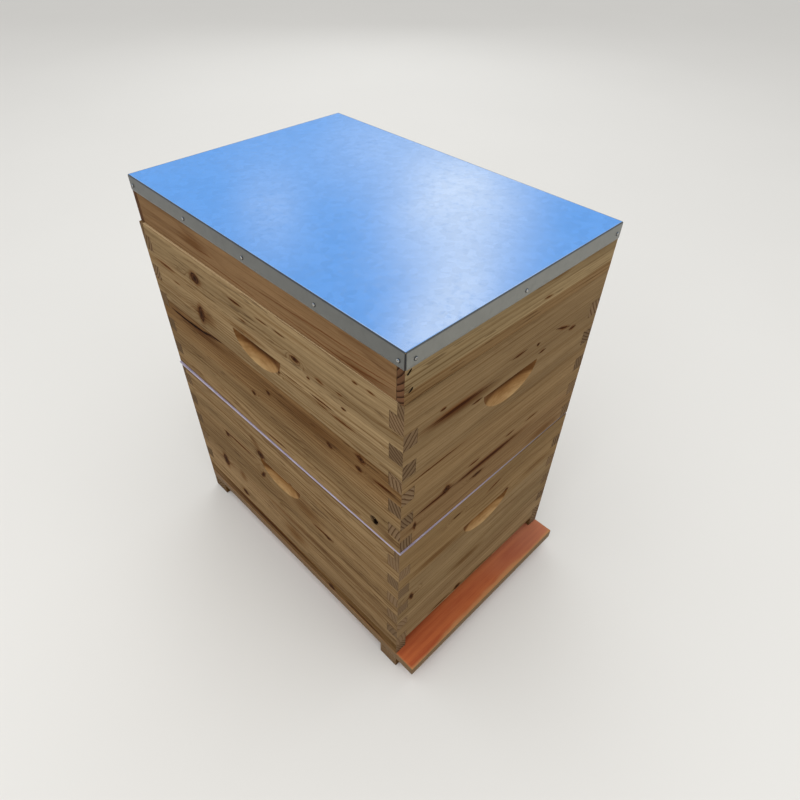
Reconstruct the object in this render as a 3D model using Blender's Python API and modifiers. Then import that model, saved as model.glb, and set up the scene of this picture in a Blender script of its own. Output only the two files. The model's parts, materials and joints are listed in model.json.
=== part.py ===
"""Eight-frame, two-box wooden beehive with a metal-clad lid.

Metres. +Z up, the entrance and landing board face -Y, X is the hive's width.
The hive stands on the plane z = 0, with its outer bounds centred on the origin.
Each group of pieces that lifts off together hangs from an empty of its own.
"""

import math

import bmesh
import bpy
from mathutils import Matrix, Vector

# Fit between separate pieces
GAP = 0.0003

# Place of the boxes' centre line; centres the outer bounds on the origin
HIVE_X = 0.0001
HIVE_Y = 0.0165

# Boxes, both the same size
BOX_WIDTH = 0.356
BOX_LENGTH = 0.508
BOX_HEIGHT = 0.243
BOARD = 0.020

# Finger joints: one tall end-board finger at the top, then nine equal ones
TOP_FINGER = 0.0405
FINGER = 0.0225
FINGER_COUNT = 9

# Rebate in the end boards' inner top edge, where the frame lugs rest
REST_DEPTH = 0.017
REST_WIDTH = 0.011

# Hand holds: a tilted round cutter run into the board's outer face
HOLD_DROP = 0.069
HOLD_HEIGHT = 0.034
HOLD_TILT = math.radians(22.0)
HOLD_RADIUS = 0.105
HOLD_CUTTER_LENGTH = 0.110
HOLD_SEGMENTS = 96

# Floor
CLEAT_HEIGHT = 0.025
CLEAT_DEPTH = 0.035
FLOOR_THICKNESS = 0.018
LANDING_DEPTH = 0.034
RAIL_HEIGHT = 0.025
RAIL_WIDTH = 0.020
CLEAT_ARRIS = 0.001
FLOOR_ARRIS = 0.0006

# Queen excluder, a slotted sheet lying slightly skewed on the brood box
EXCLUDER_THICKNESS = 0.0035
SLOT_WIDTH = 0.0043
SLOT_PITCH = 0.008
SLOT_COLUMNS = 38
SLOT_ROWS = 4
SLOT_LENGTH = 0.104
SLOT_ROW_PITCH = 0.114
EXCLUDER_SKEW = math.radians(0.3)
EXCLUDER_SHIFT = (-0.0010, 0.0)

# Lid, set down slightly skewed on the honey box
LID_WIDTH = 0.354
LID_LENGTH = 0.506
RIM_HEIGHT = 0.050
RIM_BOARD = 0.020
RIM_LAP = 0.010
PANEL_THICKNESS = 0.012
SHEET = 0.0007
FLANGE_HEIGHT = 0.0205
CORNER_RELIEF = 0.0013
LID_SKEW = math.radians(-0.35)
LID_SHIFT = (0.0006, -0.0010)

# Frames
FRAME_COUNT = 8
FRAME_PITCH = 0.036
FRAME_HEIGHT = 0.232
FRAME_LENGTH = 0.448
TOP_BAR_LENGTH = 0.483
TOP_BAR_WIDTH = 0.027
TOP_BAR_HEIGHT = 0.020
LUG_HEIGHT = 0.010
END_BAR = 0.0095
END_BAR_LAP = 0.002
SHOULDER_WIDTH = 0.0345
SHOULDER_HEIGHT = 0.085
SHOULDER_TAPER = 0.015
BOTTOM_BAR_WIDTH = 0.019
BOTTOM_BAR_HEIGHT = 0.010
STEP = 0.0006
GROOVE_WIDTH = 0.0024
GROOVE_DEPTH = 0.005
FOUNDATION = 0.0016

# Heights that follow from the sizes above
FLOOR_Z = CLEAT_HEIGHT + GAP
RAIL_Z = FLOOR_Z + FLOOR_THICKNESS + GAP
BROOD_Z = RAIL_Z + RAIL_HEIGHT + GAP
EXCLUDER_Z = BROOD_Z + BOX_HEIGHT + GAP
HONEY_Z = EXCLUDER_Z + EXCLUDER_THICKNESS + GAP
RIM_Z = HONEY_Z + BOX_HEIGHT + GAP
PANEL_RISE = RIM_HEIGHT + GAP
COVER_RISE = PANEL_RISE + PANEL_THICKNESS + GAP
FRAME_TOP = BOX_HEIGHT - REST_DEPTH + GAP + LUG_HEIGHT

# How far a cutter runs past the face it cuts through
OVERCUT = 0.01

# Points closer than this are one
WELD = 0.00001

# A flat outline is drawn in its own XY plane; these turn it to face +X or -Y
FACE_X = (math.pi / 2.0, 0.0, math.pi / 2.0)
FACE_Y = (math.pi / 2.0, 0.0, 0.0)
FACE_Z = (0.0, 0.0, 0.0)

# Colour, roughness and metallic value of each finish
FINISHES = {
    "box_wood": ((0.42, 0.29, 0.16), 0.75, 0.0),
    "rim_wood": ((0.38, 0.24, 0.12), 0.75, 0.0),
    "floor_wood": ((0.36, 0.22, 0.11), 0.80, 0.0),
    "floor_sheet": ((0.45, 0.11, 0.04), 0.60, 0.0),
    "frame_wood": ((0.58, 0.43, 0.26), 0.70, 0.0),
    "wax": ((0.72, 0.48, 0.14), 0.55, 0.0),
    "excluder_plastic": ((0.62, 0.58, 0.72), 0.45, 0.0),
    "galvanised": ((0.60, 0.62, 0.64), 0.30, 1.0),
}


def clear_scene():
    for obj in list(bpy.data.objects):
        bpy.data.objects.remove(obj, do_unlink=True)


def new_collection(name):
    collection = bpy.data.collections.new(name)
    bpy.context.scene.collection.children.link(collection)
    return collection


def new_object(name, data, group, collection, location=(0.0, 0.0, 0.0), rotation=FACE_Z):
    obj = bpy.data.objects.new(name, data)
    collection.objects.link(obj)
    obj.parent = group
    obj.location = location
    obj.rotation_euler = rotation
    return obj


def mesh_from(name, bm):
    bmesh.ops.recalc_face_normals(bm, faces=bm.faces)
    mesh = bpy.data.meshes.new(name)
    bm.to_mesh(mesh)
    bm.free()
    return mesh


def evaluated_mesh(obj):
    bpy.context.view_layer.update()
    depsgraph = bpy.context.evaluated_depsgraph_get()
    return bpy.data.meshes.new_from_object(obj.evaluated_get(depsgraph))


def block(name, low, high, group, collection):
    """A rectangular stick or board between two corners, given in its group."""
    size = Vector(high) - Vector(low)
    bm = bmesh.new()
    bmesh.ops.create_cube(bm, size=1.0, matrix=Matrix.Diagonal((*size, 1.0)))
    centre = (Vector(high) + Vector(low)) / 2.0
    return new_object(name, mesh_from(name, bm), group, collection, centre)


def mirrored_block(name, sign, low, high, group, collection):
    """A block on the -X or +X side, from corners given for the +X side."""
    xs = sorted((sign * low[0], sign * high[0]))
    low = (xs[0], low[1], low[2])
    high = (xs[1], high[1], high[2])
    return block(name, low, high, group, collection)


def outline_board(name, points, thickness, facing, centre, group, collection):
    """A flat outline given a thickness, as a closed mesh."""
    curve = bpy.data.curves.new(name, "CURVE")
    curve.dimensions = "2D"
    curve.fill_mode = "BOTH"
    curve.extrude = thickness / 2.0
    spline = curve.splines.new("POLY")
    spline.points.add(len(points) - 1)
    for point, (a, b) in zip(spline.points, points):
        point.co = (a, b, 0.0, 1.0)
    spline.use_cyclic_u = True
    drawn = new_object(name + "_outline", curve, None, collection)
    bm = bmesh.new()
    bm.from_mesh(evaluated_mesh(drawn))
    bmesh.ops.remove_doubles(bm, verts=bm.verts, dist=WELD)
    for side in (-1, 1):
        cap = [face for face in bm.faces if all(v.co.z * side > 0.0 for v in face.verts)]
        bmesh.ops.dissolve_faces(bm, faces=cap)
    bpy.data.objects.remove(drawn, do_unlink=True)
    return new_object(name, mesh_from(name, bm), group, collection, centre, facing)


def finish(obj, slot):
    """Give an object a material of its own."""
    color, roughness, metallic = FINISHES[slot]
    material = bpy.data.materials.new(obj.name + "_" + slot)
    material.use_nodes = True
    shader = material.node_tree.nodes["Principled BSDF"]
    shader.inputs["Base Color"].default_value = (*color, 1.0)
    shader.inputs["Roughness"].default_value = roughness
    shader.inputs["Metallic"].default_value = metallic
    material.diffuse_color = (*color, 1.0)
    if not obj.material_slots:
        obj.data.materials.append(None)
    obj.material_slots[0].link = "OBJECT"
    obj.material_slots[0].material = material


def as_cutter(obj):
    obj.hide_render = True
    obj.display_type = "WIRE"


def combine(target, tool, operation):
    as_cutter(tool)
    modifier = target.modifiers.new(operation.lower(), "BOOLEAN")
    modifier.operation = operation
    modifier.solver = "EXACT"
    modifier.object = tool


def soften(obj, width):
    modifier = obj.modifiers.new("arris", "BEVEL")
    modifier.width = width
    modifier.segments = 2
    modifier.limit_method = "ANGLE"


def both_sides(right_side):
    """Close a symmetric outline from its right-hand side, top to bottom."""
    left_side = [(-a, b) for a, b in reversed(right_side)]
    return right_side + left_side


def finger_levels():
    """Heights in the box of the finger boundaries below the top finger."""
    first = BOX_HEIGHT - TOP_FINGER
    return [first - i * FINGER for i in range(FINGER_COUNT + 1)]


def side_board_outline():
    """Side board: fingers 1, 3, 5, 7 and 9, and a tongue that fills the rebate."""
    outer = BOX_LENGTH / 2.0
    inner = outer - BOARD - GAP
    tongue = outer - BOARD + REST_WIDTH - GAP
    tongue_foot = BOX_HEIGHT - REST_DEPTH + GAP
    levels = finger_levels()
    points = [(tongue, BOX_HEIGHT), (tongue, tongue_foot), (inner, tongue_foot)]
    for i in range(0, FINGER_COUNT, 2):
        high = levels[i] - GAP / 2.0
        low = levels[i + 1] + GAP / 2.0
        points += [(inner, high), (outer, high)]
        if i == FINGER_COUNT - 1:
            points.append((outer, 0.0))
        else:
            points += [(outer, low), (inner, low)]
    return both_sides(points)


def end_board_outline():
    """End board: the tall top finger, then fingers 2, 4, 6 and 8."""
    outer = BOX_WIDTH / 2.0
    inner = outer - BOARD - GAP
    levels = finger_levels()
    low = levels[0] + GAP / 2.0
    points = [(outer, BOX_HEIGHT), (outer, low), (inner, low)]
    for i in range(1, FINGER_COUNT, 2):
        high = levels[i] - GAP / 2.0
        low = levels[i + 1] + GAP / 2.0
        points += [(inner, high), (outer, high), (outer, low), (inner, low)]
    points.append((inner, 0.0))
    return both_sides(points)


def cut_hand_hold(board, outward, face, group, cutters):
    """Tilted round cut: a straight ledge at the top and an arched foot."""
    normal = Vector(outward)
    up = Vector((0.0, 0.0, 1.0))
    along = math.cos(HOLD_TILT) * up - math.sin(HOLD_TILT) * normal
    across = math.cos(HOLD_TILT) * normal + math.sin(HOLD_TILT) * up
    foot = normal * face + up * (BOX_HEIGHT - HOLD_DROP - HOLD_HEIGHT)
    cap = foot + across * HOLD_RADIUS + along * HOLD_HEIGHT * math.cos(HOLD_TILT)
    centre = cap - along * HOLD_CUTTER_LENGTH / 2.0
    turn = Matrix((across, along.cross(across), along)).transposed()
    bm = bmesh.new()
    bmesh.ops.create_cone(
        bm,
        cap_ends=True,
        segments=HOLD_SEGMENTS,
        radius1=HOLD_RADIUS,
        radius2=HOLD_RADIUS,
        depth=HOLD_CUTTER_LENGTH,
    )
    name = board.name + "_hold"
    cutter = new_object(name, mesh_from(name, bm), group, cutters, centre, turn.to_euler())
    combine(board, cutter, "DIFFERENCE")


def cut_frame_rest(board, sign, group, cutters):
    half_width = BOX_WIDTH / 2.0 + OVERCUT
    inner = BOX_LENGTH / 2.0 - BOARD
    ys = sorted((sign * (inner - OVERCUT), sign * (inner + REST_WIDTH)))
    low = (-half_width, ys[0], BOX_HEIGHT - REST_DEPTH)
    high = (half_width, ys[1], BOX_HEIGHT + OVERCUT)
    combine(board, block(board.name + "_rest", low, high, group, cutters), "DIFFERENCE")


def build_side_board(name, sign, group, parts, cutters):
    face = BOX_WIDTH / 2.0
    centre = (sign * (face - BOARD / 2.0), 0.0, 0.0)
    board = outline_board(name, side_board_outline(), BOARD, FACE_X, centre, group, parts)
    cut_hand_hold(board, (sign, 0, 0), face, group, cutters)
    finish(board, "box_wood")


def build_end_board(name, sign, group, parts, cutters):
    face = BOX_LENGTH / 2.0
    centre = (0.0, sign * (face - BOARD / 2.0), 0.0)
    board = outline_board(name, end_board_outline(), BOARD, FACE_Y, centre, group, parts)
    cut_hand_hold(board, (0, sign, 0), face, group, cutters)
    cut_frame_rest(board, sign, group, cutters)
    finish(board, "box_wood")


def build_box(prefix, group, parts, cutters):
    build_side_board(prefix + "_side_left", -1, group, parts, cutters)
    build_side_board(prefix + "_side_right", 1, group, parts, cutters)
    build_end_board(prefix + "_end_front", -1, group, parts, cutters)
    build_end_board(prefix + "_end_back", 1, group, parts, cutters)


def build_floor_board(group, parts):
    low = (-BOX_WIDTH / 2.0, -BOX_LENGTH / 2.0 - LANDING_DEPTH, FLOOR_Z)
    high = (BOX_WIDTH / 2.0, BOX_LENGTH / 2.0, FLOOR_Z + FLOOR_THICKNESS)
    floor = block("floor_board", low, high, group, parts)
    soften(floor, FLOOR_ARRIS)
    finish(floor, "floor_sheet")


def build_cleat(name, start, group, parts):
    low = (-BOX_WIDTH / 2.0, start, 0.0)
    high = (BOX_WIDTH / 2.0, start + CLEAT_DEPTH, CLEAT_HEIGHT)
    cleat = block(name, low, high, group, parts)
    soften(cleat, CLEAT_ARRIS)
    finish(cleat, "floor_wood")


def build_rails(group, parts):
    half_width = BOX_WIDTH / 2.0
    half_length = BOX_LENGTH / 2.0
    top = RAIL_Z + RAIL_HEIGHT
    low = (half_width - RAIL_WIDTH, -half_length, RAIL_Z)
    high = (half_width, half_length, top)
    left = mirrored_block("floor_rail_left", -1, low, high, group, parts)
    right = mirrored_block("floor_rail_right", 1, low, high, group, parts)
    inner = half_width - RAIL_WIDTH - GAP
    low = (-inner, half_length - RAIL_WIDTH, RAIL_Z)
    back = block("floor_rail_back", low, (inner, half_length, top), group, parts)
    for rail in (left, right, back):
        soften(rail, FLOOR_ARRIS)
        finish(rail, "floor_wood")


def build_floor(group, parts):
    half_length = BOX_LENGTH / 2.0
    build_floor_board(group, parts)
    build_cleat("floor_cleat_front", -half_length, group, parts)
    build_cleat("floor_cleat_back", half_length - CLEAT_DEPTH, group, parts)
    build_rails(group, parts)


def slot_cutter(group, cutters):
    """All of the excluder's slots, as separate blocks in one cutter."""
    size = (SLOT_WIDTH, SLOT_LENGTH, EXCLUDER_THICKNESS + 2.0 * OVERCUT)
    shape = Matrix.Diagonal((*size, 1.0))
    bm = bmesh.new()
    for row in range(SLOT_ROWS):
        y = (row - (SLOT_ROWS - 1) / 2.0) * SLOT_ROW_PITCH
        for column in range(SLOT_COLUMNS):
            x = (column - (SLOT_COLUMNS - 1) / 2.0) * SLOT_PITCH
            place = Matrix.Translation((x, y, 0.0))
            bmesh.ops.create_cube(bm, size=1.0, matrix=place @ shape)
    return new_object("excluder_slots", mesh_from("excluder_slots", bm), group, cutters)


def build_excluder(group, parts, cutters):
    high = (BOX_WIDTH / 2.0, BOX_LENGTH / 2.0, EXCLUDER_THICKNESS)
    low = (-high[0], -high[1], 0.0)
    sheet = block("queen_excluder", low, high, group, parts)
    combine(sheet, slot_cutter(group, cutters), "DIFFERENCE")
    finish(sheet, "excluder_plastic")


def build_rim_end(name, sign, group, parts):
    """Front or back board of the rim, lapped over the side boards' ends."""
    half_width = LID_WIDTH / 2.0
    half_length = LID_LENGTH / 2.0
    edge = half_width - RIM_BOARD - GAP
    steps = [(edge, RIM_BOARD), (edge, RIM_LAP), (half_width, RIM_LAP), (half_width, 0.0)]
    points = [(x, sign * (half_length - depth)) for x, depth in steps]
    centre = (0.0, 0.0, RIM_HEIGHT / 2.0)
    board = outline_board(name, both_sides(points), RIM_HEIGHT, FACE_Z, centre, group, parts)
    finish(board, "rim_wood")


def build_rim_sides(group, parts):
    half_width = LID_WIDTH / 2.0
    reach = LID_LENGTH / 2.0 - RIM_LAP - GAP
    low = (half_width - RIM_BOARD, -reach, 0.0)
    high = (half_width, reach, RIM_HEIGHT)
    for name, sign in (("lid_rim_left", -1), ("lid_rim_right", 1)):
        finish(mirrored_block(name, sign, low, high, group, parts), "rim_wood")


def build_lid_panel(group, parts):
    half_width = LID_WIDTH / 2.0
    half_length = LID_LENGTH / 2.0
    low = (-half_width, -half_length, PANEL_RISE)
    high = (half_width, half_length, PANEL_RISE + PANEL_THICKNESS)
    finish(block("lid_top_panel", low, high, group, parts), "rim_wood")


def build_lid_cover(group, parts, cutters):
    """Folded sheet with a flange all round and an open seam at each corner."""
    inner = Vector((LID_WIDTH / 2.0 + GAP, LID_LENGTH / 2.0 + GAP, COVER_RISE))
    outer = inner + Vector((SHEET, SHEET, SHEET))
    hem = outer.z - FLANGE_HEIGHT
    cover = block("lid_metal_cover", (-outer.x, -outer.y, hem), outer, group, parts)
    low = (-inner.x, -inner.y, hem - OVERCUT)
    combine(cover, block("cover_hollow", low, inner, group, cutters), "DIFFERENCE")
    relief = Vector((CORNER_RELIEF, CORNER_RELIEF, 0.0))
    for i, (sx, sy) in enumerate(((-1, -1), (1, -1), (1, 1), (-1, 1))):
        corner = Vector((sx * outer.x, sy * outer.y, 0.0))
        low = corner - relief + Vector((0.0, 0.0, hem - OVERCUT))
        high = corner + relief + Vector((0.0, 0.0, inner.z - GAP))
        seam = block("cover_seam_" + str(i + 1), low, high, group, cutters)
        combine(cover, seam, "DIFFERENCE")
    finish(cover, "galvanised")


def build_lid(group, parts, cutters):
    build_rim_end("lid_rim_front", -1, group, parts)
    build_rim_end("lid_rim_back", 1, group, parts)
    build_rim_sides(group, parts)
    build_lid_panel(group, parts)
    build_lid_cover(group, parts, cutters)


def top_bar_outline():
    """Top bar seen from the side: full depth between the end bars, thin lugs."""
    lug = TOP_BAR_LENGTH / 2.0
    body = FRAME_LENGTH / 2.0 - END_BAR + END_BAR_LAP
    points = [(lug, 0.0), (lug, -LUG_HEIGHT), (body, -LUG_HEIGHT), (body, -TOP_BAR_HEIGHT)]
    return both_sides(points)


def end_bar_outline():
    """End bar seen from the end: wide shoulders space the frames, then a taper."""
    wide = SHOULDER_WIDTH / 2.0
    narrow = TOP_BAR_WIDTH / 2.0
    points = [
        (wide, -STEP),
        (wide, -SHOULDER_HEIGHT),
        (narrow, -SHOULDER_HEIGHT - SHOULDER_TAPER),
        (narrow, -FRAME_HEIGHT),
    ]
    return both_sides(points)


def frame_ring_mesh(cutters):
    """One frame, its top at z = 0: five sticks glued into a ring."""
    body = FRAME_LENGTH / 2.0
    inside = body - END_BAR
    origin = (0.0, 0.0, 0.0)
    ring = outline_board("ring_top_bar", top_bar_outline(), TOP_BAR_WIDTH, FACE_X, origin, None, cutters)
    as_cutter(ring)
    for name, sign in (("front", -1), ("back", 1)):
        centre = (0.0, sign * (body - END_BAR / 2.0), 0.0)
        outline = end_bar_outline()
        bar = outline_board("ring_end_bar_" + name, outline, END_BAR, FACE_Y, centre, None, cutters)
        combine(ring, bar, "UNION")
    low = (-BOTTOM_BAR_WIDTH / 2.0, -body + STEP, -FRAME_HEIGHT + STEP)
    high = (BOTTOM_BAR_WIDTH / 2.0, body - STEP, -FRAME_HEIGHT + BOTTOM_BAR_HEIGHT)
    combine(ring, block("ring_bottom_bar", low, high, None, cutters), "UNION")
    low = (-GROOVE_WIDTH / 2.0, -inside, high[2] - GROOVE_DEPTH)
    high = (GROOVE_WIDTH / 2.0, inside, -TOP_BAR_HEIGHT + GROOVE_DEPTH)
    combine(ring, block("ring_groove", low, high, None, cutters), "DIFFERENCE")
    mesh = evaluated_mesh(ring)
    turn = Matrix.Rotation(math.pi / 2.0, 4, "Z") @ Matrix.Rotation(math.pi / 2.0, 4, "X")
    mesh.transform(turn)
    return mesh


def build_frames(prefix, ring_mesh, group, parts):
    reach = FRAME_LENGTH / 2.0 - END_BAR - GAP
    low_z = -FRAME_HEIGHT + BOTTOM_BAR_HEIGHT - GROOVE_DEPTH + GAP
    high_z = -TOP_BAR_HEIGHT + GROOVE_DEPTH - GAP
    for i in range(FRAME_COUNT):
        x = (i - (FRAME_COUNT - 1) / 2.0) * FRAME_PITCH
        place = (x, 0.0, FRAME_TOP)
        ring = new_object(prefix + "_frame_" + str(i + 1), ring_mesh, group, parts, place)
        finish(ring, "frame_wood")
        low = (x - FOUNDATION / 2.0, -reach, FRAME_TOP + low_z)
        high = (x + FOUNDATION / 2.0, reach, FRAME_TOP + high_z)
        name = prefix + "_foundation_" + str(i + 1)
        finish(block(name, low, high, group, parts), "wax")


def new_group(name, hive, parts, height, shift=(0.0, 0.0), skew=0.0):
    """The empty that a set of pieces lifting off together hangs from."""
    location = (shift[0], shift[1], height)
    return new_object(name + "_group", None, hive, parts, location, (0.0, 0.0, skew))


def main():
    clear_scene()
    parts = new_collection("beehive")
    cutters = new_collection("beehive_cutters")
    cutters.hide_render = True
    hive = new_object("hive", None, None, parts, (HIVE_X, HIVE_Y, 0.0))
    floor = new_group("floor", hive, parts, 0.0)
    brood = new_group("brood", hive, parts, BROOD_Z)
    excluder = new_group("excluder", hive, parts, EXCLUDER_Z, EXCLUDER_SHIFT, EXCLUDER_SKEW)
    honey = new_group("honey", hive, parts, HONEY_Z)
    lid = new_group("lid", hive, parts, RIM_Z, LID_SHIFT, LID_SKEW)
    build_floor(floor, parts)
    build_box("brood", brood, parts, cutters)
    build_excluder(excluder, parts, cutters)
    build_box("honey", honey, parts, cutters)
    build_lid(lid, parts, cutters)
    ring_mesh = frame_ring_mesh(cutters)
    build_frames("brood", ring_mesh, brood, parts)
    build_frames("honey", ring_mesh, honey, parts)


main()
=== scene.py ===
"""Looks of the two-box beehive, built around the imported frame. Metres, row frame."""

import json
import math

import bmesh
import bpy
from mathutils import Matrix, Vector
from mathutils import noise as mnoise


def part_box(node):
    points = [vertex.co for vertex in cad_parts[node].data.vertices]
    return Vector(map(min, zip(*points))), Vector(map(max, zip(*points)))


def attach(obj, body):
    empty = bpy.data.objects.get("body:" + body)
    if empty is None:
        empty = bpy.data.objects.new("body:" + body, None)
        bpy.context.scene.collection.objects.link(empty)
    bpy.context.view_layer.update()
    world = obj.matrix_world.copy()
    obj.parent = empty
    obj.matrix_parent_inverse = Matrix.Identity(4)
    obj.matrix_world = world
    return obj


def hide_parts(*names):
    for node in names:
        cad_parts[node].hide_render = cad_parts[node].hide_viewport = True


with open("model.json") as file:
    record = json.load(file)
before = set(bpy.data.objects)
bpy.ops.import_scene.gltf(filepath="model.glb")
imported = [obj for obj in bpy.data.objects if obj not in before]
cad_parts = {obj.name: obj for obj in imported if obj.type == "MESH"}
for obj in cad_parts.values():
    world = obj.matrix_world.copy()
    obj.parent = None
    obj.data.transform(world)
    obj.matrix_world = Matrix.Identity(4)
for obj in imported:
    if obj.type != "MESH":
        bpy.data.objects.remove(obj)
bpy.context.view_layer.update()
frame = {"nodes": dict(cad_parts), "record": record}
NODES = frame["nodes"]
BODY_OF = {n: b for b, ns in frame["record"]["behaviour"]["bodies"].items() for n in ns}

MM = 0.001
HIVE = (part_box("honey_side_left")[0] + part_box("honey_side_right")[1]) / 2.0


# ---- shader graphs
class Nodes:
    """A node tree, built one expression at a time."""

    def __init__(self, tree):
        self.tree = tree

    def put(self, socket, value):
        if isinstance(value, bpy.types.NodeSocket):
            self.tree.links.new(value, socket)
        elif value is not None:
            if socket.type == "RGBA" and len(value) == 3:
                value = (*value, 1.0)
            socket.default_value = value

    def add(self, kind, *inputs, **settings):
        node = self.tree.nodes.new(kind)
        for key, value in settings.items():
            setattr(node, key, value)
        for socket, value in zip(node.inputs, inputs):
            self.put(socket, value)
        return node

    def tune(self, node, **sockets):
        for name, value in sockets.items():
            self.put(node.inputs[name], value)

    def math(self, operation, a, b=None, c=None, clamp=False):
        return self.add("ShaderNodeMath", a, b, c, operation=operation, use_clamp=clamp).outputs[0]

    def times(self, a, b, clamp=False):
        return self.math("MULTIPLY", a, b, clamp=clamp)

    def fma(self, a, b, c, clamp=False):
        """a * b + c"""
        return self.math("MULTIPLY_ADD", a, b, c, clamp)

    def minus(self, a, b):
        return self.math("SUBTRACT", a, b)

    def inverse(self, a):
        return self.minus(1.0, a)

    def over(self, a, b):
        return self.math("DIVIDE", a, b)

    def vector(self, operation, a, b=None):
        return self.add("ShaderNodeVectorMath", a, b, operation=operation).outputs[0]

    def facing(self):
        """The surface normal's x, y and z."""
        return self.split(self.add("ShaderNodeNewGeometry").outputs["Normal"])

    def length(self, a):
        return self.add("ShaderNodeVectorMath", a, operation="LENGTH").outputs["Value"]

    def split(self, a):
        return self.add("ShaderNodeSeparateXYZ", a).outputs

    def join(self, x, y, z):
        return self.add("ShaderNodeCombineXYZ", x, y, z).outputs[0]

    def mix(self, share, a, b, blend="MIX"):
        node = self.add("ShaderNodeMix", data_type="RGBA", blend_type=blend)
        self.put(node.inputs[0], share)
        self.put(node.inputs[6], a)
        self.put(node.inputs[7], b)
        return node.outputs[2]

    def tint(self, color, factor):
        return self.mix(1.0, color, factor, "MULTIPLY")

    def wash(self, share, color, factor):
        """The colour, multiplied by the factor where share is 1."""
        return self.mix(share, color, self.tint(color, factor))

    def ramp(self, value, stops):
        node = self.add("ShaderNodeValToRGB", value)
        node.color_ramp.interpolation = "LINEAR"
        elements = node.color_ramp.elements
        colors = [(c, c, c) if isinstance(c, (int, float)) else c for at, c in stops]
        elements[0].position, elements[-1].position = stops[0][0], stops[-1][0]
        elements[0].color, elements[-1].color = (*colors[0], 1.0), (*colors[-1], 1.0)
        for (at, _), color in zip(stops[1:-1], colors[1:-1]):
            elements.new(at).color = (*color, 1.0)
        return node.outputs[0]

    def noise(self, point, scale, detail=2.0, rough=0.5):
        node = self.add("ShaderNodeTexNoise", point)
        self.tune(node, Scale=scale, Detail=detail, Roughness=rough)
        return node.outputs[0]

    def shaken(self, point, scale, reach):
        """The point moved about by noise."""
        node = self.add("ShaderNodeTexNoise", point)
        self.tune(node, Scale=scale)
        away = self.vector("SUBTRACT", node.outputs[1], (0.5, 0.5, 0.5))
        return self.vector("ADD", point, self.vector("MULTIPLY", away, reach))

    def stretched(self, point, scales, detail=2.0, rough=0.5):
        """Noise with its own scale along each axis."""
        return self.noise(self.vector("MULTIPLY", point, scales), 1.0, detail, rough)

    def step(self, value, low, high):
        """0 below low, 1 above high, smooth between."""
        node = self.add("ShaderNodeMapRange", value, low, high, 0.0, 1.0)
        node.interpolation_type = "SMOOTHSTEP"
        return node.outputs[0]

    def part(self, share, value, low, high):
        """The step, grown to no more than share."""
        return self.times(self.step(value, low, high), share)

    def under(self, value, low, high):
        """1 below low, 0 above high."""
        return self.inverse(self.step(value, low, high))

    def spots(self, point, spots):
        """Distance to the nearest of several ellipses, 1 on its edge."""
        found = None
        for u, v, ru, rv, turn in spots:
            node = self.add("ShaderNodeMapping", point, vector_type="TEXTURE")
            place, size = (u * MM, v * MM, 0.0), (ru * MM, rv * MM, 1.0)
            self.tune(node, Location=place, Rotation=(0.0, 0.0, math.radians(turn)), Scale=size)
            distance = self.length(node.outputs[0])
            found = distance if found is None else self.math("MINIMUM", found, distance)
        return found

    def bump(self, height, strength, distance):
        node = self.add("ShaderNodeBump")
        self.tune(node, Strength=strength, Distance=distance, Height=height)
        return node.outputs[0]


class Graph(Nodes):
    """A material: its nodes, its shader, and the point being shaded."""

    def __init__(self, name, roughness=0.6, metallic=0.0):
        self.material = bpy.data.materials.new(name)
        self.material.use_nodes = True
        super().__init__(self.material.node_tree)
        self.shader = self.tree.nodes["Principled BSDF"]
        self.set("Roughness", roughness)
        self.set("Metallic", metallic)
        self.point = self.add("ShaderNodeTexCoord").outputs["Object"]

    def set(self, socket, value):
        self.put(self.shader.inputs[socket], value)


AXES = {"x": 0, "y": 1, "z": 2}
HOLD_HALF, HOLD_HEIGHT = 0.0503, 0.034  # a hand hold's half width and height
HOLD_SLOPE = math.tan(math.radians(22.0))
LATE_WOOD = (0.42, 0.30, 0.22)  # what a ring's dark side does to the colour
FINGER = 0.0225  # pitch of the corner joints


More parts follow.
